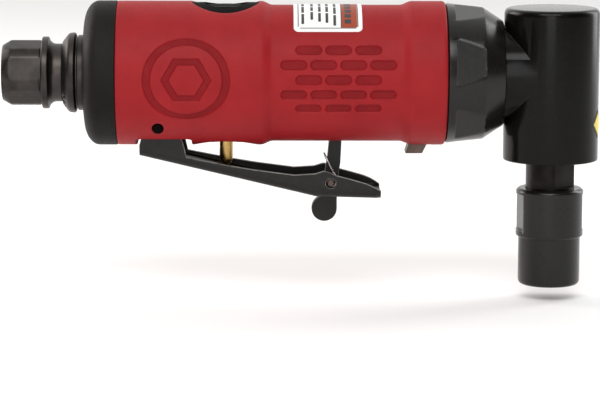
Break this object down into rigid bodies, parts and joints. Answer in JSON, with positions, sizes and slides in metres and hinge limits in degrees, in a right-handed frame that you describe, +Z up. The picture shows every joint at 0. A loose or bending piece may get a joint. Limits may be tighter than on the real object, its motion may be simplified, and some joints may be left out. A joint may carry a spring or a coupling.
{
  "type": "right-angle air die grinder",
  "caption": "Right-angle pneumatic die grinder: red gripped round handle, black head at 90 degrees with collet and nut, paddle throttle with lock-off, threaded air inlet.",
  "frame": {"origin": "centre of the collet's mouth on the spindle axis", "axes": "+Z up along the spindle, away from the collet's mouth; +X along the motor from the air inlet towards the head; the lock-off lever hangs below the handle"},
  "size_m": [0.1403, 0.0338, 0.0673],
  "materials": {
    "red_grip": "soft-touch matt red moulding, fine grain",
    "black_rubber": "matt black moulded rubber",
    "seal_rubber": "black nitrile O-ring",
    "black_plastic": "satin black moulding",
    "aluminium": "machined, fine turning marks",
    "oxide_steel": "dark brown-black oxide over turned steel, edges worn brighter",
    "black_enamel": "smooth glossy black finish over steel",
    "lever_paint": "semi-gloss black paint over pressed steel, worn along the edges",
    "spindle_steel": "dark blued, turned and ground steel",
    "collet_steel": "ground steel with dark tempering tint",
    "brass": "turned brass, slightly tarnished",
    "bright_steel": "ground bright steel",
    "vane_composite": "brown laminated composite with visible weave",
    "felt": "pressed wool felt",
    "white_label": null,
    "yellow_label": "yellow diamond sticker with a black border, no symbol or words"
  },
  "bodies": {
    "handle": {"motor_housing": "aluminium", "grip_sleeve": "red_grip", "rear_cap": "black_rubber", "sleeve_clip": "bright_steel", "top_insert": "black_plastic", "warning_label": "white_label", "hazard_label": "yellow_label", "inlet_bushing": "oxide_steel", "inlet_screen": "bright_steel", "inlet_seal": "seal_rubber", "exhaust_felt": "felt", "lever_pin": "bright_steel", "valve_guide": "brass", "stem_seal": "seal_rubber", "valve_spring": "bright_steel", "motor_cylinder": "aluminium", "rear_end_plate": "aluminium", "front_end_plate": "aluminium", "dowel_pin": "bright_steel", "rear_bearing_outer": "bright_steel", "front_bearing_outer": "bright_steel", "clamp_nut": "black_enamel", "angle_head": "black_enamel", "bearing_cap": "oxide_steel", "head_seal": "felt", "upper_bearing_outer": "bright_steel", "lower_bearing_outer": "bright_steel"},
    "motor_shaft": {"rotor": "bright_steel", "vane_1": "vane_composite", "vane_2": "vane_composite", "vane_3": "vane_composite", "vane_4": "vane_composite", "bevel_pinion": "bright_steel", "rear_bearing_inner": "bright_steel", "front_bearing_inner": "bright_steel"},
    "rear_ball_set": {"rear_bearing_balls": "bright_steel"},
    "front_ball_set": {"front_bearing_balls": "bright_steel"},
    "output_spindle": {"spindle": "spindle_steel", "bevel_gear": "bright_steel", "gear_retaining_ring": "bright_steel", "upper_bearing_inner": "bright_steel", "lower_bearing_inner": "bright_steel"},
    "upper_ball_set": {"upper_bearing_balls": "bright_steel"},
    "lower_ball_set": {"lower_bearing_balls": "bright_steel"},
    "collet_body": {"collet": "collet_steel"},
    "nut_body": {"collet_nut": "black_enamel"},
    "lever_body": {"throttle_lever": "lever_paint", "lock_pin": "bright_steel", "lock_spring": "bright_steel"},
    "lock_body": {"lock_off_lever": "lever_paint"},
    "valve_body": {"valve_stem": "brass", "throttle_valve": "brass", "valve_seal": "seal_rubber"},
    "regulator_body": {"air_regulator": "black_plastic", "regulator_seal": "seal_rubber"},
    "deflector_body": {"exhaust_deflector": "oxide_steel"}
  },
  "joints": [
    {"name": "motor_spin", "type": "hinge", "parent": "handle", "child": "motor_shaft", "pos_m": [-0.046, 0, 0.05], "axis": [1, 0, 0], "continuous": true},
    {"name": "spindle_spin", "type": "hinge", "parent": "handle", "child": "output_spindle", "pos_m": [0, 0, 0.05], "axis": [0, 0, -1], "continuous": true},
    {"name": "rear_balls_spin", "type": "hinge", "parent": "handle", "child": "rear_ball_set", "pos_m": [-0.065, 0, 0.05], "axis": [1, 0, 0], "continuous": true},
    {"name": "front_balls_spin", "type": "hinge", "parent": "handle", "child": "front_ball_set", "pos_m": [-0.0265, 0, 0.05], "axis": [1, 0, 0], "continuous": true},
    {"name": "upper_balls_spin", "type": "hinge", "parent": "handle", "child": "upper_ball_set", "pos_m": [0, 0, 0.0613], "axis": [0, 0, -1], "continuous": true},
    {"name": "lower_balls_spin", "type": "hinge", "parent": "handle", "child": "lower_ball_set", "pos_m": [0, 0, 0.0365], "axis": [0, 0, -1], "continuous": true},
    {"name": "collet_draw", "type": "slide", "parent": "output_spindle", "child": "collet_body", "axis": [0, 0, -1], "range_m": [0, 0.003]},
    {"name": "nut_turn", "type": "hinge", "parent": "collet_body", "child": "nut_body", "pos_m": [0, 0, 0.0115], "axis": [0, 0, -1], "range_deg": [0, 1080]},
    {"name": "throttle_press", "type": "hinge", "parent": "handle", "child": "lever_body", "pos_m": [-0.0923, 0, 0.0382], "axis": [0, -1, 0], "range_deg": [0, 7], "stiffness_Nm_per_rad": 0.6, "springref_deg": -5.73},
    {"name": "valve_lift", "type": "slide", "parent": "handle", "child": "valve_body", "axis": [0, 0, 1], "range_m": [0, 0.00211], "deforming": ["valve_spring"]},
    {"name": "lock_fold", "type": "hinge", "parent": "lever_body", "child": "lock_body", "pos_m": [-0.052, 0, 0.02475], "axis": [0, -1, 0], "range_deg": [0, 73.1], "deforming": ["lock_spring"]},
    {"name": "regulator_turn", "type": "hinge", "parent": "handle", "child": "regulator_body", "pos_m": [-0.0766, 0, 0.064], "axis": [0, 0, 1], "range_deg": [-90, 90]},
    {"name": "deflector_turn", "type": "hinge", "parent": "handle", "child": "deflector_body", "pos_m": [-0.112, 0, 0.05], "axis": [-1, 0, 0], "continuous": true}
  ],
  "couplings": [
    {"joint": "spindle_spin", "follows": "motor_spin", "ratio": 0.75},
    {"joint": "rear_balls_spin", "follows": "motor_spin", "ratio": 0.36},
    {"joint": "front_balls_spin", "follows": "motor_spin", "ratio": 0.368},
    {"joint": "upper_balls_spin", "follows": "motor_spin", "ratio": 0.27},
    {"joint": "lower_balls_spin", "follows": "motor_spin", "ratio": 0.28611},
    {"joint": "nut_turn", "follows": "collet_draw", "rad_per_m": 6283.2},
    {"joint": "valve_lift", "follows": "throttle_press", "m_per_rad": 0.0172},
    {"joint": "lock_fold", "follows": "throttle_press", "ratio": 10.43}
  ]
}
